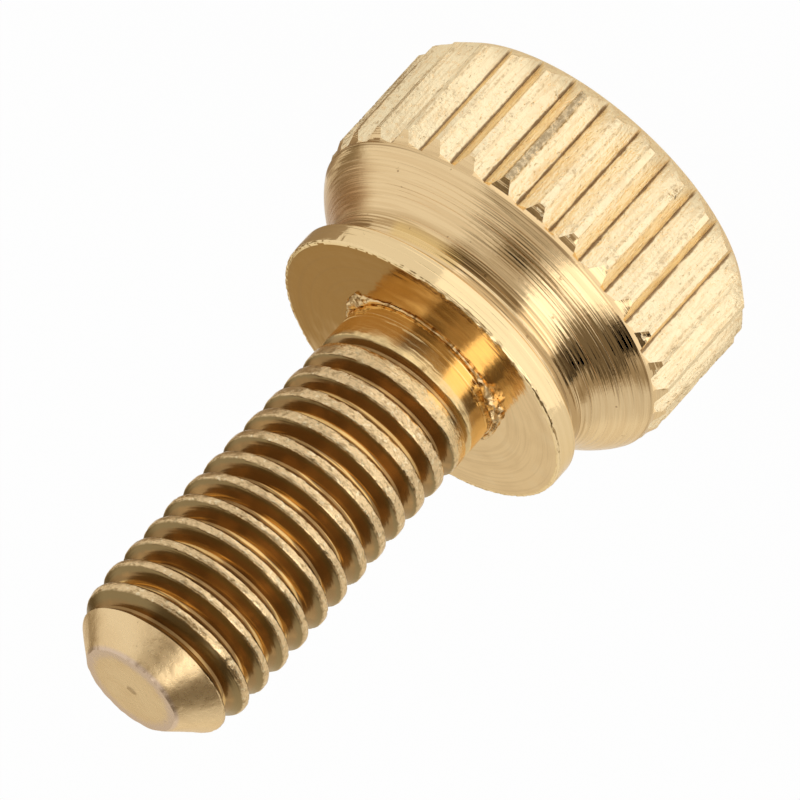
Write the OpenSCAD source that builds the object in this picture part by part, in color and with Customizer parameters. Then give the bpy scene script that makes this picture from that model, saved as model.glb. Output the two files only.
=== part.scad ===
// Knurled thumb screw, turned in one piece from round brass bar.
//
// The bearing face of the collar lies in the plane z = 0 and the screw's axis is the z axis.
// The threaded shank points up, and the knurled head hangs below and ends in a flat face.

/* [Knurled head] */
// Diameter over the lands of the knurl
head_d = 10.8; // [9.4:0.1:16]
// Height of the knurled band, with its bevels and rim
band_h = 4; // [2:0.1:8]
// Number of grooves round the band
groove_count = 30; // [20:1:32]
// Depth of the V grooves below the lands
groove_depth = 0.35; // [0.1:0.01:0.36]
// Angle between the two walls of a groove
groove_angle = 111; // [60:1:112]
// Height of the bevel at the end face
end_bevel_h = 0.4; // [0.1:0.02:0.9]
// Radial depth of the bevel at the end face
end_bevel_depth = 0.38; // [0.05:0.01:0.6]
// Height of the bevel next to the flare
front_bevel_h = 0.32; // [0.1:0.02:0.9]
// Radial depth of the bevel next to the flare
front_bevel_depth = 0.155; // [0.05:0.005:0.3]
// Height of the plain rim between that bevel and the flare
rim_h = 0.12; // [0.08:0.01:0.4]
// How much of the rim the ends of the grooves leave uncut
rim_web = 0.05; // [0.02:0.01:0.06]

/* [Flare] */
// Height of the flare, from the collar to the knurled band
flare_h = 2.07; // [1.4:0.01:5]
// Diameter of the waist behind the collar
waist_d = 7.9; // [6:0.1:8.5]
// Radius of the fillet between the waist and the collar
waist_fillet = 0.14; // [0.04:0.02:0.2]
// Slope of the flare where it meets the rim, measured from the axis
flare_angle = 30; // [10:5:45]

/* [Collar] */
// Diameter of the collar
collar_d = 8.8; // [8.6:0.1:13]
// Thickness of the collar
collar_t = 0.68; // [0.4:0.02:2]
// Radius of the collar's two edges
collar_edge = 0.07; // [0.02:0.01:0.12]

/* [Shank] */
// Length of the shank, from the bearing face to the tip
shank_l = 11.86; // [6:0.02:40]
// Diameter of the plain neck
neck_d = 4.56; // [4.2:0.02:4.8]
// Length of the plain neck under the thread
neck_l = 0.5; // [0.3:0.05:2]
// Radius of the fillet between the neck and the bearing face
neck_fillet = 0.12; // [0.04:0.02:0.3]
// Diameter of the flat face at the tip
tip_d = 2.8; // [1:0.1:3.6]
// Angle of the chamfer at the tip, measured from the axis
tip_angle = 45; // [30:1:60]

/* [Thread] */
// Pitch of the right-hand thread
pitch = 0.8; // [0.5:0.05:1]
// Diameter over the fully formed crests
crest_d = 4.84; // [4.8:0.01:5]
// Diameter at the roots
root_d = 3.94; // [3.8:0.02:4.1]
// Width of the flat at the root
root_w = 0.08; // [0.04:0.01:0.12]
// Angle between the two flanks of the thread
thread_angle = 60; // [50:1:60]
// Length of shank over which the crests swell to their full diameter
swell_l = 6.5; // [2:0.1:20]
// Length of shank over which the groove runs out towards the neck
runout_l = 1.1; // [0.4:0.1:3]
// Length of shank over which the crests fall away towards the tip
lead_l = 1.7; // [0.8:0.1:3]
// How far the crests' radius has fallen away at the tip
lead_drop = 0.32; // [0:0.02:0.4]

/* [Hidden] */

// Facets of a full turn on the round surfaces
round_fn = 180;
// Facets of a full turn of the thread
thread_fn = 36;
// Segments of the flare's curve
flare_steps = 24;
// Segments of a small rounded edge
edge_steps = 6;
// Handles of the flare's curve, as shares of its height
waist_handle = 0.48;
rim_handle = 0.38;
// Depth of the groove at the very start of its run-out
least_depth = 0.02;
// How far a groove's cutter reaches past the lands, which keeps it clear of the next one
groove_reach = 0.02;
// How far other cutters reach past what they trim
overshoot = 1;

head_r = head_d / 2;
band_top = -collar_t - flare_h;
head_bottom = band_top - band_h;
rim_r = head_r - front_bevel_depth;
rim_bottom = band_top - rim_h;
waist_top = -collar_t - waist_fillet;

neck_r = neck_d / 2;
tip_r = tip_d / 2;
flank_slope = tan(thread_angle / 2);
// Turns of groove that cover the shank, with one to spare below the neck's end
groove_turns = ceil((shank_l - neck_l) / pitch) + 2;

// Points of an arc about centre [r, z], from angle a0 to angle a1
function arc(centre, radius, a0, a1, steps) =
    [for (i = [0:steps]) let (a = a0 + (a1 - a0) * i / steps) centre + radius * [cos(a), sin(a)]];

// Point of a cubic curve with four control points, at t from 0 to 1
function cubic(p, t) =
    pow(1 - t, 3) * p[0] + 3 * t * pow(1 - t, 2) * p[1] + 3 * t * t * (1 - t) * p[2] + t * t * t * p[3];

// Control points of the flare, from the waist to the rim
flare_run = waist_top - band_top;
flare_curve = [
    [waist_d / 2, waist_top],
    [waist_d / 2, waist_top - waist_handle * flare_run],
    [rim_r - rim_handle * flare_run * tan(flare_angle), band_top + rim_handle * flare_run],
    [rim_r, band_top]
];

// Half section of the head, from the end face up to the plain rim
head_outline = [
    [0, head_bottom],
    [head_r - end_bevel_depth, head_bottom],
    [head_r, head_bottom + end_bevel_h],
    [head_r, rim_bottom - front_bevel_h],
    [rim_r, rim_bottom]
];

// Half section of the flare, from the rim up to the underside of the collar
flare_outline = concat(
    [for (i = [flare_steps:-1:0]) cubic(flare_curve, i / flare_steps)],
    arc([waist_d / 2 + waist_fillet, waist_top], waist_fillet, 180, 90, edge_steps)
);

// Half section of the collar, with both edges rounded
collar_outline = concat(
    arc([collar_d / 2 - collar_edge, -collar_t + collar_edge], collar_edge, -90, 0, edge_steps),
    arc([collar_d / 2 - collar_edge, -collar_edge], collar_edge, 0, 90, edge_steps)
);

// Half section of the plain neck, with the fillet at its foot
neck_outline = concat(
    arc([neck_r + neck_fillet, neck_fillet], neck_fillet, 270, 180, edge_steps),
    [[neck_r, neck_l], [0, neck_l]]
);

// Radius over the crests at a height, which swells from the neck and falls away at the tip
function crest_r(z) =
    neck_r + (crest_d / 2 - neck_r) * min(1, max(0, (z - neck_l) / swell_l))
    - lead_drop * max(0, z - shank_l + lead_l) / lead_l;

// Depth of the thread's groove at a height, which runs out towards the neck
function depth(z) =
    max(least_depth, (crest_r(z) - root_d / 2) * min(1, max(0, (z - neck_l) / runout_l)));

// The groove's middle lies at this height where the azimuth is zero
function groove_z(turn) = neck_l + (turn - 1) * pitch;

// The four corners of the groove's section at a turn, as [r, z]
function groove_corners(turn) =
    let (z = groove_z(turn), h = depth(z), r = crest_r(z), half = root_w / 2)
    [[r, z - half - h * flank_slope], [r - h, z - half], [r - h, z + half], [r, z + half + h * flank_slope]];

// Place of a corner, row by row up the rod and column by column round it
function rod_point(row, column) =
    let (turn = floor(row / 4) + column / thread_fn, p = groove_corners(turn)[row % 4])
    [p[0] * cos(360 * column / thread_fn), p[0] * sin(360 * column / thread_fn), p[1]];

// Knurled band, flare, collar and neck, which are one turned surface
module turned_body() {
    rotate_extrude($fn = round_fn)
        polygon(concat(head_outline, flare_outline, collar_outline, neck_outline));
}

// One V groove of the knurl, cut from the end face into the rim
module knurl_groove() {
    bottom_r = head_r - groove_depth;
    outside = head_r + groove_reach;
    half = (outside - bottom_r) * tan(groove_angle / 2);
    translate([0, 0, head_bottom - overshoot])
        linear_extrude(band_h - rim_web + overshoot)
            polygon([[bottom_r, 0], [outside, -half], [outside, half]]);
}

module knurl() {
    for (i = [0:groove_count - 1])
        rotate([0, 0, 360 * i / groove_count]) knurl_groove();
}

// Threaded rod with its ends left rough, to be trimmed
module threaded_rod() {
    rows = 4 * groove_turns;
    points = concat(
        [for (row = [0:rows]) for (column = [0:thread_fn - 1]) rod_point(row, column)],
        [for (row = [rows + 1:rows + 4]) rod_point(row, 0)],
        [[0, 0, groove_z(0)], [0, 0, groove_z(groove_turns + 1)]]
    );
    // Index of a corner; the column after the last is the first one, four rows further up
    function index(row, column) =
        column == thread_fn ? index(row + 4, 0) :
        row > rows ? (rows + 1) * thread_fn + row - rows - 1 :
        row * thread_fn + column;
    low = (rows + 1) * thread_fn + 4;
    high = low + 1;
    sides = [
        for (row = [0:rows - 1]) for (column = [0:thread_fn - 1])
            each [
                [index(row, column), index(row + 1, column), index(row, column + 1)],
                [index(row, column + 1), index(row + 1, column), index(row + 1, column + 1)]
            ]
    ];
    low_end = concat(
        [for (column = [0:thread_fn - 1]) [low, index(0, column), index(0, column + 1)]],
        [for (row = [0:3]) [low, index(row + 1, 0), index(row, 0)]]
    );
    high_end = concat(
        [for (column = [0:thread_fn - 1]) [high, index(rows, column + 1), index(rows, column)]],
        [for (row = [rows:rows + 3]) [high, index(row, 0), index(row + 1, 0)]]
    );
    polyhedron(points, concat(sides, low_end, high_end));
}

// Space that the thread may fill: from the neck's end to the tip, with the chamfer
module thread_envelope() {
    outside = crest_d / 2 + overshoot;
    rotate_extrude($fn = round_fn)
        polygon([
            [0, neck_l],
            [outside, neck_l],
            [outside, shank_l - (outside - tip_r) / tan(tip_angle)],
            [tip_r, shank_l],
            [0, shank_l]
        ]);
}

module thumb_screw() {
    color("goldenrod") {
        difference() {
            turned_body();
            knurl();
        }
        intersection() {
            threaded_rod();
            thread_envelope();
        }
    }
}

thumb_screw();
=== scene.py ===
import math

import bpy
from mathutils import Matrix, Vector, noise as rough


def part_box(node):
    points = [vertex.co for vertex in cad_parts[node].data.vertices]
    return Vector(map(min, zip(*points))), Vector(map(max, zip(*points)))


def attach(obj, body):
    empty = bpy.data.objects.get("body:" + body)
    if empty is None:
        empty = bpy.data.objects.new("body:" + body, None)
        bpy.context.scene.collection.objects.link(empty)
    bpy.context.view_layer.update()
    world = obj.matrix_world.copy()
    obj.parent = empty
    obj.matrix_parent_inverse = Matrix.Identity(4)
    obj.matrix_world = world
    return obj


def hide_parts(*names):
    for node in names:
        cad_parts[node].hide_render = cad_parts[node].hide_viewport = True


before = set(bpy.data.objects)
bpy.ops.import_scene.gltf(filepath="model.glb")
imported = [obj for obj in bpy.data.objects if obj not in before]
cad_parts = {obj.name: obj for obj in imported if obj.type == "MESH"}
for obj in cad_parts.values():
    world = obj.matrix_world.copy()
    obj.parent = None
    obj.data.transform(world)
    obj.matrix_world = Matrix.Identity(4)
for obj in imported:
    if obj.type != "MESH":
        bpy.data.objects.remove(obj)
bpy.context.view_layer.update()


# Knurled head: a short round bar of brass with a bevel at its lower end, a narrower bevel and a plain rim at
# its upper end, and a flare that was turned up to the waist behind the collar. Thirty V grooves are pressed
# into the band, so that only a narrow land is left between two of them.
mm = 0.001
HEAD_BOTTOM, HEAD_R, HEAD_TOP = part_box("thumb_screw")[0].z / mm, 5.4, -0.4
LOWER_BEVEL_R, LOWER_BEVEL_TOP, UPPER_BEVEL_Z = 5.02, -6.35, -3.19
RIM_R, RIM_Z, RIM_TOP = 5.245, -2.87, -2.75
WAIST_R, WAIST_TOP, WAIST_FILLET = 3.95, -0.82, 0.14
GROOVES, GROOVE_DEPTH, GROOVE_ANGLE, GROOVE_TOP = 30, 0.35, math.radians(111), -2.80
BRASS, PALE = (0.90, 0.66, 0.36, 1), (1.00, 0.83, 0.53, 1)
TAN, BROWN = (0.80, 0.56, 0.29, 1), (0.30, 0.17, 0.07, 1)


def drawn(name, r, z, moves):
    """A line of edges that starts at r, z and goes on by moves of (r, z), in mm. It is left in edit mode."""
    bpy.ops.object.select_all(action="DESELECT")
    bpy.ops.mesh.primitive_plane_add(size=mm)
    line = bpy.context.object
    line.name = line.data.name = name
    bpy.ops.object.mode_set(mode="EDIT")
    bpy.ops.mesh.merge(type="CENTER")
    bpy.ops.transform.translate(value=(r * mm, 0, z * mm))
    for out, on in moves:
        bpy.ops.mesh.extrude_region_move(TRANSFORM_OT_translate={"value": (out * mm, 0, on * mm)})
    return line


def turned(name, outline, steps):
    """A solid of revolution: a half section of [r, z] points in mm, spun round the screw's axis."""
    piece = drawn(name, *outline[0], [(r1 - r0, z1 - z0) for (r0, z0), (r1, z1) in zip(outline, outline[1:])])
    bpy.ops.mesh.select_all(action="SELECT")
    bpy.ops.mesh.spin(steps=steps, angle=2 * math.pi, center=(0, 0, 0), axis=(0, 0, 1))
    bpy.ops.mesh.select_all(action="SELECT")
    bpy.ops.mesh.remove_doubles(threshold=0.0002 * mm)
    bpy.ops.mesh.normals_make_consistent(inside=False)
    bpy.ops.object.mode_set(mode="OBJECT")
    return piece


def straight(start, end, count):
    """Points on the straight line from start to end, without the last one."""
    return [[a + (b - a) * i / count for a, b in zip(start, end)] for i in range(count)]


def curve(p, count):
    """Points on the cubic curve with the four control points p, without the last one."""
    points = []
    for i in range(count):
        t = i / count
        w = ((1 - t) ** 3, 3 * t * (1 - t) ** 2, 3 * t * t * (1 - t), t ** 3)
        points.append([sum(k * q[axis] for k, q in zip(w, p)) for axis in (0, 1)])
    return points


def cut_by(piece, other, operation):
    """Cuts piece with another closed mesh, which is used up."""
    bpy.ops.object.select_all(action="DESELECT")
    bpy.context.view_layer.objects.active = piece
    piece.select_set(True)
    cut = piece.modifiers.new("cut", "BOOLEAN")
    cut.operation, cut.object, cut.solver = operation, other, "EXACT"
    bpy.ops.object.modifier_apply(modifier="cut")
    bpy.data.objects.remove(other)


def sliced(place, direction):
    """Adds edges where a plane passes through the mesh that is being edited."""
    bpy.ops.mesh.select_all(action="SELECT")
    bpy.ops.mesh.bisect(plane_co=place, plane_no=direction)


flare = [[RIM_R, RIM_TOP], [4.823, -2.0166], [WAIST_R, -1.7464], [WAIST_R, WAIST_TOP]]
fillet = [[WAIST_R + WAIST_FILLET - WAIST_FILLET * math.cos(a), WAIST_TOP + WAIST_FILLET * math.sin(a)]
          for a in (math.pi / 2 * i / 5 for i in range(6))]
head = turned("knurled_head", [
    *straight([0, HEAD_BOTTOM], [LOWER_BEVEL_R, HEAD_BOTTOM], 14),
    *straight([LOWER_BEVEL_R, HEAD_BOTTOM], [HEAD_R, LOWER_BEVEL_TOP], 5),
    *straight([HEAD_R, LOWER_BEVEL_TOP], [HEAD_R, UPPER_BEVEL_Z], 56),
    *straight([HEAD_R, UPPER_BEVEL_Z], [RIM_R, RIM_Z], 6),
    *straight([RIM_R, RIM_Z], [RIM_R, RIM_TOP], 2),
    *curve(flare, 30), *fillet, [WAIST_R - 0.3, HEAD_TOP], [0, HEAD_TOP],
], 360)

# One long V that stands out of the bar a little, in rows and columns that can be torn, and its copies
# round the band. A three-sided bar of radius 1 is 1.5 deep and 0.866 wide on either side.
past_bar, past_end, row_count, column_count = 0.02, 0.2, 72, 6
deep = GROOVE_DEPTH + past_bar
low = HEAD_BOTTOM - past_end
bpy.ops.object.select_all(action="DESELECT")
bpy.ops.mesh.primitive_cylinder_add(vertices=3, radius=mm, depth=mm)
grooves = bpy.context.object
bpy.ops.object.mode_set(mode="EDIT")
bpy.ops.transform.rotate(value=math.radians(-90), orient_axis="Z", center_override=(0, 0, 0))
bpy.ops.transform.resize(value=(deep / 1.5, deep * math.tan(GROOVE_ANGLE / 2) / 0.866, GROOVE_TOP - low),
                         center_override=(0, 0, 0))
bpy.ops.transform.translate(value=(
    (HEAD_R - GROOVE_DEPTH + deep / 1.5) * mm, 0, (GROOVE_TOP + low) / 2 * mm))
for i in range(1, row_count):
    sliced((0, 0, (low + (GROOVE_TOP - low) * i / row_count) * mm), (0, 0, 1))
for i in range(1, column_count):
    sliced(((HEAD_R - GROOVE_DEPTH + deep * i / column_count) * mm, 0, 0), (1, 0, 0))
bpy.ops.mesh.select_all(action="SELECT")
bpy.ops.mesh.spin(steps=GROOVES - 1, dupli=True, angle=2 * math.pi * (GROOVES - 1) / GROOVES,
                  center=(0, 0, 0), axis=(0, 0, 1))
bpy.ops.mesh.select_all(action="SELECT")
bpy.ops.mesh.normals_make_consistent(inside=False)
bpy.ops.object.mode_set(mode="OBJECT")
cut_by(head, grooves, "DIFFERENCE")


def spots(piece):
    """Each vertex of a piece, with its place and its distance from the screw's axis in mm."""
    for v in piece.data.vertices:
        place = v.co / mm
        yield v, place, math.hypot(place.x, place.y)


def ramp(x, start, length):
    """0 up to start, and then a rise to 1 over a length."""
    return min(1, max(0, (x - start) / length))


def near(distance, reach):
    """1 where the distance is none, and 0 from reach on."""
    return min(1, max(0, 1 - distance / reach))


def press_in(v, place, radius, depth):
    """Moves a vertex towards the screw's axis by a depth in mm."""
    v.co.x -= place.x / radius * depth * mm
    v.co.y -= place.y / radius * depth * mm


# The roller tore the lands here and there, chipped the upper ends of the teeth and left the walls uneven
TEETH_END, WORN_FROM, WORN_TO, MOST_WORN = -3.1, -6.72, -2.88, 0.05
for v, place, radius in spots(head):
    if radius < 5.0 or not WORN_FROM < place.z < WORN_TO:
        continue
    uneven = 0.006 * rough.noise(place * 5) + 0.004 * rough.noise(place * 13)
    patch = max(0, rough.noise(Vector((place.x * 1.6, place.y * 1.6, place.z * 2.4))) - 0.12)
    land = ramp(radius, 5.30, 0.07) * ramp(-place.z, -TEETH_END, 0.1)
    torn = land * (0.018 * max(0, rough.noise(place * 9)) + 0.10 * patch * (0.5 + rough.noise(place * 16)))
    chipped = near(abs(place.z - TEETH_END), 0.22) * max(
        0, rough.noise(place * 6) + 0.4 * rough.noise(place * 14))
    inward = min(MOST_WORN, max(-0.002, uneven + max(0, torn) + 0.05 * chipped))
    if abs(place.z - WORN_TO) < 0.06 or radius > HEAD_R - 0.01:
        inward = max(0, inward)
    press_in(v, place, radius, inward)
bpy.ops.object.shade_smooth_by_angle(angle=math.radians(24))


class Nodes:
    """The node tree of a material or of the world, emptied first."""

    def __init__(self, owner):
        owner.use_nodes = True
        self.tree = owner.node_tree
        self.tree.nodes.clear()

    def make(self, kind, settings, inputs, output=0):
        """A node of a kind, with its settings and with values or links on its sockets."""
        node = self.tree.nodes.new(kind)
        for name, value in settings.items():
            setattr(node, name, value)
        for name, value in inputs.items():
            if isinstance(value, Link):
                self.tree.links.new(value.socket, node.inputs[name])
            else:
                node.inputs[name].default_value = value
        return Link(self, node.outputs[output]) if node.outputs else node

    def split(self, vector):
        """The x, y and z of a vector."""
        x = self.make("ShaderNodeSeparateXYZ", {}, {0: vector})
        return [Link(self, socket) for socket in x.socket.node.outputs]


class Link:
    """A shader socket, so that shader maths can be written as an expression."""

    def __init__(self, nodes, socket):
        self.nodes, self.socket = nodes, socket

    def maths(self, operation, *values):
        return self.nodes.make("ShaderNodeMath", {"operation": operation}, dict(enumerate(values)))

    def __add__(self, other): return self.maths("ADD", self, other)
    def __radd__(self, other): return self.maths("ADD", other, self)
    def __sub__(self, other): return self.maths("SUBTRACT", self, other)
    def __rsub__(self, other): return self.maths("SUBTRACT", other, self)
    def __mul__(self, other): return self.maths("MULTIPLY", self, other)
    def __rmul__(self, other): return self.maths("MULTIPLY", other, self)
    def __truediv__(self, other): return self.maths("DIVIDE", self, other)
    def __rtruediv__(self, other): return self.maths("DIVIDE", other, self)


def mixed(a, b, share):
    """A colour between a and b."""
    return share.nodes.make("ShaderNodeMix", {"data_type": "RGBA"}, {0: share, 6: a, 7: b}, 2)


def step(x, none, full):
    """0 at none, 1 at full and a soft slope between the two."""
    return x.nodes.make("ShaderNodeMapRange", {"interpolation_type": "SMOOTHSTEP"},
                        {"Value": x, "From Min": none, "From Max": full})


def band(x, start, full, fading, end):
    """0 up to start, 1 from full to fading, and 0 again from end on."""
    return step(x, start, full) * step(x, end, fading)


def noise(x, y, z, detail=2.0, roughness=0.5):
    """Cloudy noise from 0 to 1 at a place given by three links."""
    vector = x.nodes.make("ShaderNodeCombineXYZ", {}, {0: x, 1: y, 2: z})
    return x.nodes.make("ShaderNodeTexNoise", {},
                        {"Vector": vector, "Scale": 1.0, "Detail": detail, "Roughness": roughness})


def rings(x, y, r, round_axis, across, detail=2.0, roughness=0.5):
    """Noise drawn out round the screw's axis, as a lathe tool leaves it."""
    return noise(x / r * round_axis, y / r * round_axis, across, detail, roughness)


def towards(x, y, degrees):
    """How far a place lies in a direction across the screw's axis."""
    return x * math.cos(math.radians(degrees)) + y * math.sin(math.radians(degrees))


def new_skin(name):
    """A material, and x, y, z and the distance from the screw's axis in mm, as links."""
    material = bpy.data.materials.new(name)
    nodes = Nodes(material)
    x, y, z = (side * (1 / mm) for side in nodes.split(nodes.make("ShaderNodeTexCoord", {}, {}, "Object")))
    return material, x, y, z, x.maths("SQRT", x * x + y * y)


def finish_brass(colour, roughness, height, metallic=1.0):
    """Bare brass, less metallic where it is dull, with a relief whose height is in mm."""
    nodes = colour.nodes
    relief = nodes.make("ShaderNodeBump", {}, {"Height": height, "Distance": mm})
    brass = nodes.make("ShaderNodeBsdfPrincipled", {}, {
        "Base Color": colour, "Roughness": roughness, "Normal": relief, "Metallic": metallic,
        "Specular Tint": (0.95, 0.85, 0.68, 1)})
    nodes.make("ShaderNodeOutputMaterial", {}, {"Surface": brass})


def dress(piece, skin_of):
    """Gives each face the skin that skin_of picks by its middle in mm and its normal."""
    skins = []
    piece.data.materials.clear()
    for face in piece.data.polygons:
        skin = skin_of(face.center / mm, face.normal)
        if skin not in skins:
            skins.append(skin)
            piece.data.materials.append(skin)
        face.material_index = skins.index(skin)


# Turned brass, on the flare and on through the collar's edge and the neck: fine rings in several shades
turned_skin, x, y, z, r = new_skin("turned_brass")
ring = z - r
fine = rings(x, y, r, 0.9, ring * 10, 1.0)
broad = rings(x, y, r, 0.8, ring * 3.2, 1.0)
tone = rings(x, y, r, 1.1, ring * 7, 2.0, 0.6)
scratch = step(rings(x, y, r, 0.6, ring * 15, 0.0), 0.56, 0.68)
wear = noise(x * 5, y * 5, z * 7, 3.0, 0.6)
specks = step(noise(x * 5, y * 5, z * 5, 2.0), 0.72, 0.76)
colour = mixed(BRASS, TAN, step(tone, 0.42, 0.62) * 0.6)
# The flare's upper half has painted shade, dark brown, on one side, and its hollow has brown rings all round
painted_flare_shade = step(towards(x, y, 30.7) / r + (tone - 0.5) * 0.06, 0.86, 0.98) * band(z, -2.7, -1.8, -0.7, -0.6)
colour = mixed(colour, (0.54, 0.29, 0.11, 1), painted_flare_shade)
hollow = band(z, -1.7, -1.3, -0.72, -0.66)
colour = mixed(colour, (0.50, 0.31, 0.13, 1), hollow * step(fine, 0.42, 0.52) * 0.8)
# A brown line runs where the rim meets the flare, the neck is a deeper gold, and the rim is tan
rim_line = band(z, -2.81, -2.77, -2.72, -2.67) * step(r, 5.1, 5.2)
colour = mixed(colour, BROWN, rim_line * step(tone, 0.4, 0.6) * 0.85)
colour = mixed(colour, (0.90, 0.65, 0.31, 1), band(z, -0.02, 0.0, 0.5, 0.62))
colour = mixed(colour, (0.80, 0.57, 0.30, 1), band(z, -2.92, -2.88, -2.74, -2.70) * (0.4 + tone))
# One golden stain, brown specks, scratches that are darkest where the flare was scraped, a brighter collar
gold = step(towards(x, y, -28) / r, 0.95, 0.975) * band(z, -1.5, -1.2, -1.0, -0.9)
colour = mixed(mixed(colour, (0.90, 0.61, 0.23, 1), gold * 0.6), BROWN, specks * 0.6)
scraped = step(towards(x, y, -83.5) / r, 0.68, 0.82) * band(z, -2.7, -2.3, -0.8, -0.7)
colour = mixed(colour, (0.20, 0.12, 0.05, 1), scratch * step(z, -2.8, -2.72) * (0.03 + 0.34 * scraped))
collar_side = step(r, 4.25, 4.35) * step(z, -0.7, -0.64)
colour = mixed(colour, (1.00, 0.77, 0.42, 1), collar_side * 0.5)
relief = (0.014 * fine + 0.012 * broad) * (1 - 0.6 * collar_side) + 0.003 * wear - 0.004 * scratch
# The painted shade on the flare is also rougher and less metallic
finish_brass(colour, 0.06 + 0.12 * tone + 0.14 * painted_flare_shade, relief, 1 - 0.3 * painted_flare_shade)

# Faced brass, on the head's flat end and both faces of the collar. The bearing face has painted shade on one
# side.
faced_skin, x, y, z, r = new_skin("faced_brass")
fine = rings(x, y, r, 0.7, r * 9, 1.0)
arcs = step(rings(x, y, r, 0.8, r * 13, 1.0), 0.5, 0.66)
broad = noise(x * 1.6, y * 1.6, z, 3.0)
sweep = noise(x * 0.9, y * 0.9, r * 2.5, 2.0)
# Painted shade: dark brown over one side of the bearing face
painted_bearing_shade = step(towards(x, y, 20) + (sweep - 0.5) * 2.0, 0.4, 2.4) * band(z, -0.3, -0.1, 0.5, 1.0)
colour = mixed((0.98, 0.71, 0.38, 1), TAN, step(sweep, 0.4, 0.65) * 0.35)
colour = mixed(mixed(colour, (0.39, 0.19, 0.035, 1), painted_bearing_shade * 0.92), BROWN, arcs * 0.10)
colour = mixed(colour, PALE, step(broad, 0.5, 0.7) * (1 - painted_bearing_shade) * 0.12)
finish_brass(colour, 0.09 + 0.10 * sweep, 0.007 * fine + 0.014 * broad)

# Knurled brass: pressed, so pale and grainy, with streaks along the grooves and painted shade at their bottoms
knurl_skin, x, y, z, r = new_skin("knurled_brass")
grain = noise(x * 10, y * 10, z * 8, 3.0, 0.7)
streaks = noise(x * 13, y * 13, z * 0.9, 2.0)
lumps = noise(x * 3, y * 3, z * 2.4, 3.0, 0.6)
pits = step(noise(x * 9, y * 9, z * 6, 2.0, 0.6), 0.65, 0.73)
colour = mixed((0.95, 0.69, 0.38, 1), PALE, step(grain, 0.3, 0.5))
colour = mixed(mixed(colour, TAN, step(lumps, 0.5, 0.7) * 0.3), TAN, step(streaks, 0.5, 0.62) * 0.4)
land_edge = band(r, 5.32, 5.35, 5.385, 5.395) * step(grain, 0.45, 0.6)
colour = mixed(mixed(colour, BROWN, pits * 0.15), (0.50, 0.31, 0.13, 1), land_edge * 0.5)
worn_land = step(towards(x, y, -42), 5.345, 5.38) * step(r, 5.31, 5.35)
colour = mixed(colour, (0.40, 0.28, 0.15, 1), worn_land * step(grain, 0.25, 0.6) * 0.85)
# Painted shade: dark brown and less metallic at the bottoms of the grooves
groove_bottom_shade = step(r + (lumps - 0.5) * 0.07, 5.09, 5.06) * band(z, -6.7, -6.5, -2.95, -2.86)
relief = 0.024 * grain + 0.014 * streaks + 0.034 * lumps - 0.01 * pits + worn_land * grain * 0.03
finish_brass(mixed(colour, BROWN, groove_bottom_shade * 0.9), 0.2 + 0.2 * grain, relief, 1 - 0.5 * groove_bottom_shade)


def is_flat(normal):
    """Whether a face lies square to the screw's axis."""
    return abs(normal.z) > 0.995


def head_skin(middle, normal):
    """Faced at the flat end, turned on the upper bevel, the rim and the flare, and knurled between."""
    if is_flat(normal) and middle.z < -6.7:
        return faced_skin
    on_bevel = middle.z > -3.25 and normal.z > 0.25
    return turned_skin if on_bevel or middle.z > -2.875 else knurl_skin


dress(head, head_skin)
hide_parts("thumb_screw")
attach(head, "root")


# Collar: a thin disc of the same bar with two small rounded edges. Its upper face, which bears on the work,
# was faced in the lathe and keeps the tool's fine rings.
COLLAR_R, COLLAR_UNDER, COLLAR_EDGE, UNDER_NECK_R = 4.4, -0.68, 0.07, 2.0


def rounded(centre, radius, start, end, count):
    """Points of an arc of a half section, from one angle to another, with both ends."""
    angles = [math.radians(start + (end - start) * i / count) for i in range(count + 1)]
    return [[centre[0] + radius * math.cos(a), centre[1] + radius * math.sin(a)] for a in angles]


inner = COLLAR_R - COLLAR_EDGE
collar = turned("collar", [
    *straight([0, COLLAR_UNDER], [inner, COLLAR_UNDER], 6),
    *rounded([inner, COLLAR_UNDER + COLLAR_EDGE], COLLAR_EDGE, -90, 0, 5),
    *straight([COLLAR_R, -0.56], [COLLAR_R, -0.12], 3),
    *rounded([inner, -COLLAR_EDGE], COLLAR_EDGE, 0, 90, 5),
    *straight([inner - 0.05, 0], [UNDER_NECK_R, 0], 12), [UNDER_NECK_R, 0], [0, 0],
], 360)
# The facing tool left a ragged edge
for v, place, radius in spots(collar):
    if radius > inner - 0.01 and place.z > -0.085:
        pull = max(0, 0.022 * (0.4 + rough.noise(place * 9) + 0.5 * rough.noise(place * 24)))
        v.co.z -= pull * mm
        press_in(v, place, radius, pull * 0.7)
bpy.ops.object.select_all(action="DESELECT")
collar.select_set(True)
bpy.context.view_layer.objects.active = collar
bpy.ops.object.shade_smooth_by_angle(angle=math.radians(24))
dress(collar, lambda middle, normal: faced_skin if is_flat(normal) else turned_skin)
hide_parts("thumb_screw")
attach(collar, "root")


# Threaded shank: a plain neck, then a right-hand thread that starts shallow, swells to full height and
# falls away again towards the chamfered tip. It was rolled or chased into the same bar.
NECK_R, NECK_TOP, TIP_Z, TIP_R, CHAMFER_R, CHAMFER_FROM = 2.28, 0.5, 11.86, 1.4, 2.3, 10.9
PITCH, CREST_R, ROOT_R, ROOT_HALF, FLANK = 0.8, 2.42, 1.97, 0.04, math.tan(math.radians(30))
SWELL, RUN_OUT, LEAD, LEAD_DROP = 6.5, 1.1, 1.7, 0.32

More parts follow.
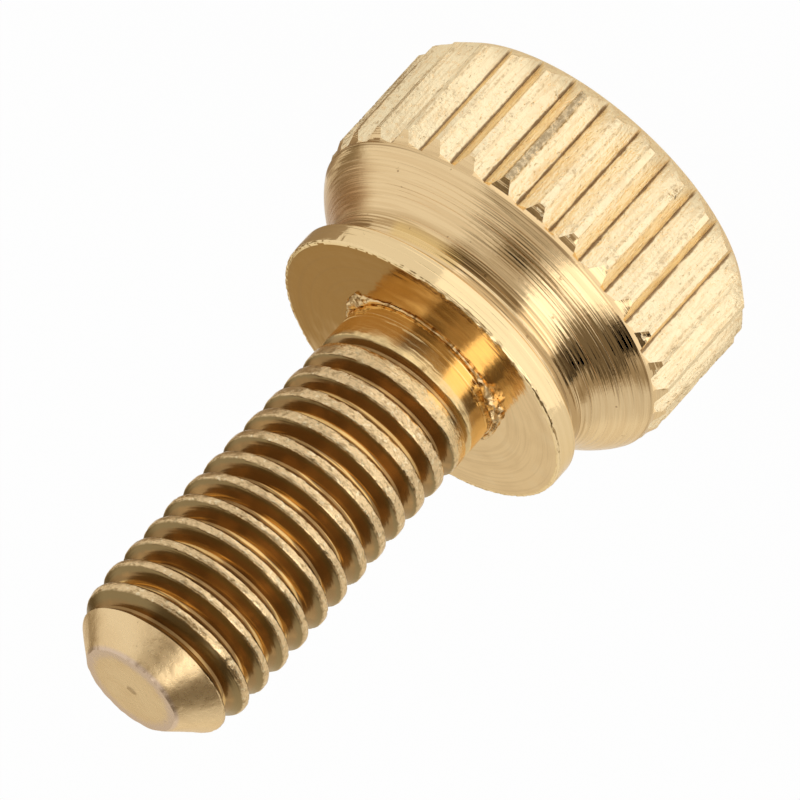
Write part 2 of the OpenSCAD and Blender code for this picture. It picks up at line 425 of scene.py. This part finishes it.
# One pitch of the thread's section, as (distance from the groove's middle, share of the depth), drawn
# point by point and screwed up the shank
full_depth = CREST_R - ROOT_R
half_groove = ROOT_HALF + full_depth * FLANK
half_section = [
    (0, 0), (ROOT_HALF, 0),
    *((ROOT_HALF + (half_groove - ROOT_HALF) * k, k) for k in (0.16, 0.33, 0.5, 0.67, 0.82)),
    (half_groove - 0.022, 0.915), (half_groove, 0.965), (half_groove + 0.028, 0.995), (PITCH / 2, 1.004),
]
section = half_section + [(PITCH - w, k) for w, k in reversed(half_section[:-1])]
first_groove = NECK_TOP - 3 * PITCH
shank = drawn("threaded_shank", ROOT_R, first_groove, [
    (full_depth * (k1 - k0), w1 - w0) for (w0, k0), (w1, k1) in zip(section, section[1:])])
bpy.ops.object.mode_set(mode="OBJECT")
screw = shank.modifiers.new("thread", "SCREW")
screw.axis, screw.angle, screw.screw_offset, screw.iterations = "Z", 2 * math.pi, PITCH * mm, 18
screw.steps = screw.render_steps = 144
bpy.ops.object.modifier_apply(modifier="thread")


def lead_in(z):
    """How far the thread has fallen away towards the tip."""
    return LEAD_DROP * max(0, z - TIP_Z + LEAD) / LEAD


def crest(z):
    """The radius over the thread's crests."""
    return NECK_R + (CREST_R - NECK_R) * ramp(z, NECK_TOP, SWELL) - lead_in(z)


def cut_depth(z):
    """How deep the groove is cut below the crest."""
    return max(0.002, (crest(z) - ROOT_R) * ramp(z, NECK_TOP, RUN_OUT))


def on_tip(z, radius, slack):
    """Whether a place lies on the chamfer or the flat end, or not further out than slack."""
    return z > CHAMFER_FROM and radius < TIP_R + TIP_Z - z + slack


# The groove is shallower and narrower where it runs out, as the cutter left it
for v in shank.data.vertices:
    radius, z = math.hypot(v.co.x, v.co.y) / mm, v.co.z / mm
    turn = math.atan2(v.co.y, v.co.x) / (2 * math.pi)
    middle = first_groove + (round((z - first_groove) / PITCH - turn) + turn) * PITCH
    from_middle = z - middle
    w = abs(from_middle)
    depth = cut_depth(middle)
    width = depth + lead_in(middle)
    half = ROOT_HALF + width * FLANK
    if w >= half_groove:
        w = half + (w - half_groove) * (PITCH / 2 - half) / (PITCH / 2 - half_groove)
    elif w > ROOT_HALF:
        w = ROOT_HALF + (w - ROOT_HALF) * width / full_depth
    new_radius = crest(z) - depth * (1 - (radius - ROOT_R) / full_depth)
    v.co.x *= new_radius / radius
    v.co.y *= new_radius / radius
    v.co.z = (middle + math.copysign(w, from_middle)) * mm
bpy.ops.object.mode_set(mode="EDIT")
bpy.ops.mesh.select_all(action="SELECT")
bpy.ops.mesh.remove_doubles(threshold=0.0005 * mm)
bpy.ops.mesh.select_all(action="DESELECT")
bpy.ops.mesh.select_non_manifold()
bpy.ops.mesh.edge_face_add()
bpy.ops.mesh.select_all(action="SELECT")
bpy.ops.mesh.normals_make_consistent(inside=False)
bpy.ops.object.mode_set(mode="OBJECT")

# The ends are cut off square below the bearing face and with a chamfer at the tip
wide = 3.2
envelope = turned("envelope", [
    [0, HEAD_TOP], *straight([wide, HEAD_TOP], [wide, 9], 2), [wide, TIP_Z - wide + TIP_R],
    *straight([CHAMFER_R, TIP_Z - CHAMFER_R + TIP_R], [TIP_R, TIP_Z], 16), [TIP_R, TIP_Z],
    *straight([TIP_R - 0.06, TIP_Z], [0, TIP_Z], 14), [0, TIP_Z],
], 144)
cut_by(shank, envelope, "INTERSECT")

# Torn edges of the crests, and a worn rim round the tip
for v, place, radius in spots(shank):
    if place.z < 0.7 or radius < 1.0:
        continue
    at_crest = near(crest(place.z) - radius, 0.06)
    at_rim = near(math.hypot(radius - TIP_R, place.z - TIP_Z), 0.16)
    inward = at_crest * 0.028 * max(0, rough.noise(place * 7) + 0.5 * rough.noise(place * 17) - 0.05)
    inward += at_rim * max(0, 0.02 + 0.045 * rough.noise(place * 1.7) + 0.035 * rough.noise(place * 5))
    press_in(v, place, radius, inward)
    if on_tip(place.z, radius, 0.03):
        v.co.z -= 0.02 * (0.5 + rough.noise(place * 1.3)) * mm
bpy.ops.object.shade_smooth_by_angle(angle=math.radians(28))

# Thread brass: worn bright on the crests, with painted shade on the flanks and cloudy orange patches of painted
# reflection, and thin golden lines at the roots
thread_skin, x, y, z, r = new_skin("thread_brass")
crest_here = (NECK_R + (CREST_R - NECK_R) * x.maths("MINIMUM", (z - NECK_TOP) / SWELL, 1)
              - LEAD_DROP / LEAD * x.maths("MAXIMUM", z - (TIP_Z - LEAD), 0))
below_crest = (crest_here - r) / full_depth
fine = rings(x, y, r, 0.8, z * 6 + r * 12, 2.0)
torn = noise(x * 5, y * 5, z * 10, 3.0, 0.7)
clouds = noise(x * 1.2, y * 1.2, z * 1.2, 2.0)
past_start = step(z, 0.9, 2.0)
crests = mixed((0.90, 0.65, 0.31, 1), (0.82, 0.59, 0.32, 1), past_start)
crests = mixed(crests, (0.52, 0.35, 0.17, 1), step(torn, 0.48, 0.66) * past_start * 0.75)
crests = mixed(crests, PALE, step(noise(x * 7, y * 7, z * 9, 2.0), 0.58, 0.66) * past_start * 0.6)
# Painted shade: the flanks are dark brown, with cloudy orange patches of painted reflection further down
dark = step(below_crest + (torn - 0.5) * 0.25, 0.06 + 0.024 * z, 0.22 + 0.036 * z)
flanks = mixed((0.31, 0.18, 0.07, 1), (0.42, 0.24, 0.09, 1), step(clouds, 0.45, 0.7))
flanks = mixed((0.28, 0.19, 0.08, 1), flanks, dark)
painted_flank_shade = step(below_crest + (torn - 0.5) * 0.16, -0.01, 0.11) * step(z, 0.6, 1.4)
root_lines = step(below_crest, 0.72, 0.84) * past_start * step(fine, 0.50, 0.58)
colour = mixed(mixed(crests, flanks, painted_flank_shade), (0.90, 0.58, 0.22, 1), root_lines * 0.85)
finish_brass(colour, 0.12 + 0.16 * torn, 0.010 * fine + 0.035 * torn * (1 - painted_flank_shade) * past_start)

# Cut-off end: dull and dented, with a browner rim and the mark that the parting tool left in the middle
tip_skin, x, y, z, r = new_skin("cut_end_brass")
dents = noise(x * 1.1, y * 1.1, z * 1.1, 2.0)
grain = noise(x * 8, y * 8, z * 8, 3.0, 0.65)
end = step(z, TIP_Z - 0.12, TIP_Z - 0.04)
rim = end * step(r + (grain - 0.5) * 0.3, TIP_R - 0.4, TIP_R - 0.1)
mark = end * step(r, 0.2, 0.1) * step(towards(x, y, -60) + 0.05, -0.04, 0.06)
colour = mixed(mixed(BRASS, TAN, step(dents, 0.35, 0.65) * 0.55), (0.76, 0.57, 0.41, 1), rim)
colour = mixed(mixed(colour, BROWN, mark * 0.5), BROWN, step(grain, 0.66, 0.74) * 0.5)
finish_brass(colour, 0.21 + 0.14 * grain, 0.04 * dents + 0.005 * grain - 0.03 * mark)


def shank_skin(middle, normal):
    """Turned on the neck, threaded above it, and cut off at the tip."""
    if normal.z > 0.5 and on_tip(middle.z, math.hypot(middle.x, middle.y), 0.02):
        return tip_skin
    return turned_skin if middle.z < NECK_TOP - 0.05 else thread_skin


dress(shank, shank_skin)
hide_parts("thumb_screw")
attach(shank, "root")


# Burr: the tool that squared the neck rolled up a thin ragged ring of brass where it meets the bearing face,
# and tore it up into a crumbly lump in two places.
BURR_R, BURR_HALF = 2.36, 0.1
LUMPS = ((-112, 17, 1.0), (18, 13, 0.8))
bpy.ops.object.select_all(action="DESELECT")
bpy.ops.mesh.primitive_torus_add(major_radius=BURR_R * mm, minor_radius=BURR_HALF * mm,
                                 major_segments=420, minor_segments=20, location=(0, 0, 0))
burr = bpy.context.object
burr.name = burr.data.name = "neck_burr"
for v, place, radius in spots(burr):
    around = math.degrees(math.atan2(place.y, place.x))
    torn = max(share * math.exp(-((around - at) / spread) ** 2) for at, spread, share in LUMPS)
    jag = rough.noise(place * 6) + 0.8 * rough.noise(place * 14)
    new = BURR_R + (radius - BURR_R) * (0.45 + 1.9 * torn) + 0.08 * torn + jag * (0.025 + 0.09 * torn)
    high = place.z * (0.3 + 1.7 * torn) * (1 + 0.8 * jag)
    v.co = Vector((place.x / radius * new, place.y / radius * new, 0.02 + high)) * mm
bpy.ops.object.shade_smooth_by_angle(angle=math.radians(40))

burr_skin, x, y, z, r = new_skin("torn_brass")
grain = noise(x * 6, y * 6, z * 6, 2.0, 0.6)
colour = mixed((0.88, 0.63, 0.32, 1), (0.36, 0.21, 0.08, 1), step(grain, 0.5, 0.66))
finish_brass(colour, 0.2 + 0.3 * grain, 0.03 * grain)
dress(burr, lambda middle, normal: burr_skin)
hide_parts("thumb_screw")
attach(burr, "root")


# Floor: a sheet of plain pale card that the screw stands on, head down. It is seen as white, and in the
# brass as pale grey.
SEEN_WHITE, MIRRORED_WHITE = 0.97, 0.50
bpy.ops.object.select_all(action="DESELECT")
bpy.ops.mesh.primitive_circle_add(vertices=96, radius=1.0, fill_type="NGON")
floor = bpy.context.object
floor.name = "floor"
bpy.ops.object.mode_set(mode="EDIT")
bpy.ops.transform.translate(value=(0, 0, HEAD_BOTTOM * mm))
bpy.ops.object.mode_set(mode="OBJECT")
card = bpy.data.materials.new("pale_card")
nodes = Nodes(card)
camera_ray, glossy_ray, clear_ray = (
    nodes.make("ShaderNodeLightPath", {}, {}, output)
    for output in ("Is Camera Ray", "Is Glossy Ray", "Is Transmission Ray"))
lit = nodes.make("ShaderNodeBsdfDiffuse", {}, {"Color": (0.92, 0.92, 0.92, 1)})
white = nodes.make("ShaderNodeEmission", {}, {"Color": (1, 1, 1, 1), "Strength": 1.0})
share = camera_ray * SEEN_WHITE + (glossy_ray + clear_ray) * MIRRORED_WHITE
nodes.make("ShaderNodeOutputMaterial", {}, {
    "Surface": nodes.make("ShaderNodeMixShader", {}, {0: share, 1: lit, 2: white})})
floor.data.materials.append(card)


# Studio: a white tent round the screw, with a strip of softbox, a few dark gaps and an open top. The brass
# mirrors it, and the camera sees plain white instead.
AZIMUTH, TENT = -59.5, 0.86
world = bpy.data.worlds.new("studio")
bpy.context.scene.world = world
nodes = Nodes(world)
x, y, z = nodes.split(nodes.make("ShaderNodeVectorRotate", {"rotation_type": "Z_AXIS"}, {
    "Vector": nodes.make("ShaderNodeTexCoord", {}, {}, "Generated"), "Angle": math.radians(-AZIMUTH)}))
around = x.maths("ARCTAN2", y, x) * math.degrees(1)
up = x.maths("ARCSINE", z) * math.degrees(1)
back = x.maths("ABSOLUTE", around)


def window(x, low, high, soft):
    """1 where x lies between low and high, with soft edges."""
    return band(x, low - soft / 2, low + soft / 2, high - soft / 2, high + soft / 2)


# Each patch: its change of the light, then its place round the screw and its height, as low, high and
# softness in degrees
light = TENT
for change, sideways, across, height in (
        (0.88, around, (-62, -25, 8), (-60, 66, 10)),     # strip of softbox
        (-0.54, around, (-24, 46, 16), (-30, 33, 14)),    # dark front, darkest to one side
        (-0.14, around, (10, 42, 16), (-30, 33, 14)),
        (-0.26, around, (-20, 46, 16), (33, 58, 10)),
        (-0.42, around, (-14, 26, 16), (58, 75, 6)),
        (-0.73, around, (-92, -65, 6), (-30, 36, 8)),     # gap beside the strip
        (-0.36, around, (-114, -90, 12), (-30, 36, 8)),
        (-0.68, around, (-135, -70, 10), (34, 62, 8)),
        (-0.14, around, (-140, -100, 12), (-30, 36, 10)),
        (-0.60, around, (130, 170, 14), (-40, 18, 16)),   # gap at the back
        (-0.17, back, (168, 200, 8), (6, 50, 10)),
        (-0.62, around, None, (70, 95, 10)),              # open top
        (0.25, back, (165, 200, 10), (-90, 4, 8))):       # bright foot of the back wall
    patch = change * window(up, *height)
    light = light + (patch * window(sideways, *across) if across else patch)
warmth = mixed((1, 0.82, 0.58, 1), (1, 1, 1, 1), step(light, 0.2, 0.8))
seen = nodes.make("ShaderNodeLightPath", {}, {}, "Is Camera Ray")
nodes.make("ShaderNodeOutputWorld", {}, {
    "Surface": nodes.make("ShaderNodeBackground", {}, {
        "Color": mixed(warmth, (1, 1, 1, 1), seen), "Strength": light + (1 - light) * seen})})


# Two flat sheets on the card: in front of the screw a light panel that is turned up, and behind it to one
# side a dark sheet. Only the brass shows them.
def laid(name, outline, shader, inputs):
    """A flat sheet on the card. Its points in mm go first towards the camera and then to the camera's right."""
    bpy.ops.object.select_all(action="DESELECT")
    bpy.ops.mesh.primitive_circle_add(vertices=len(outline), radius=mm, fill_type="NGON")
    sheet = bpy.context.object
    sheet.name = name
    for v, (x, y) in zip(sheet.data.vertices, outline):
        v.co = x * mm, y * mm, (HEAD_BOTTOM + 0.05) * mm
    sheet.data.transform(Matrix.Rotation(math.radians(AZIMUTH), 4, "Z"))
    material = bpy.data.materials.new(name)
    nodes = Nodes(material)
    nodes.make("ShaderNodeOutputMaterial", {}, {"Surface": nodes.make(shader, {}, inputs)})
    sheet.data.materials.append(material)
    sheet.visible_camera = sheet.visible_diffuse = sheet.visible_shadow = False


laid("light_panel", [
    (3.5, 8), (3.8, 4.6), (5.6, 2), (5.7, 0), (5.6, -2), (3.8, -4.6), (1.5, -6.5), (1, -14),
    (6, -24), (12, -45), (52, -45), (52, 29), (37, 20.6), (14.4, 7.7), (8, 8),
], "ShaderNodeEmission", {"Color": (1, 1, 1, 1), "Strength": 1.15})
laid("dark_sheet", [
    (1, 7.2), (-3, 13), (-8, 30), (-16, 50), (-50, 25), (-12, 6.5), (-5, 5.5),
], "ShaderNodeBsdfDiffuse", {"Color": (0.52, 0.44, 0.36, 1)})


# Camera: far off with a long lens, a little above the screw, and turned so that the screw leans across the
# frame with its tip down.
ELEVATION, ROLL, DISTANCE = math.radians(23.94), math.radians(-137.82), 0.6
RIGHT, UP, SENSOR, LENS = -0.54 * mm, -0.763 * mm, 36, 1070.8
camera_data = bpy.data.cameras.new("camera")
camera = bpy.data.objects.new("camera", camera_data)
bpy.context.scene.collection.objects.link(camera)
bpy.context.scene.camera = camera
camera_data.sensor_width, camera_data.lens = SENSOR, LENS
camera_data.clip_start, camera_data.clip_end = 0.01, 10
turn = (Matrix.Rotation(math.radians(AZIMUTH) + math.pi / 2, 4, "Z")
        @ Matrix.Rotation(math.pi / 2 - ELEVATION, 4, "X") @ Matrix.Rotation(ROLL, 4, "Z"))
camera.matrix_world = turn @ Matrix.Translation((RIGHT, UP, DISTANCE))

bpy.context.scene.view_settings.view_transform = "Standard"
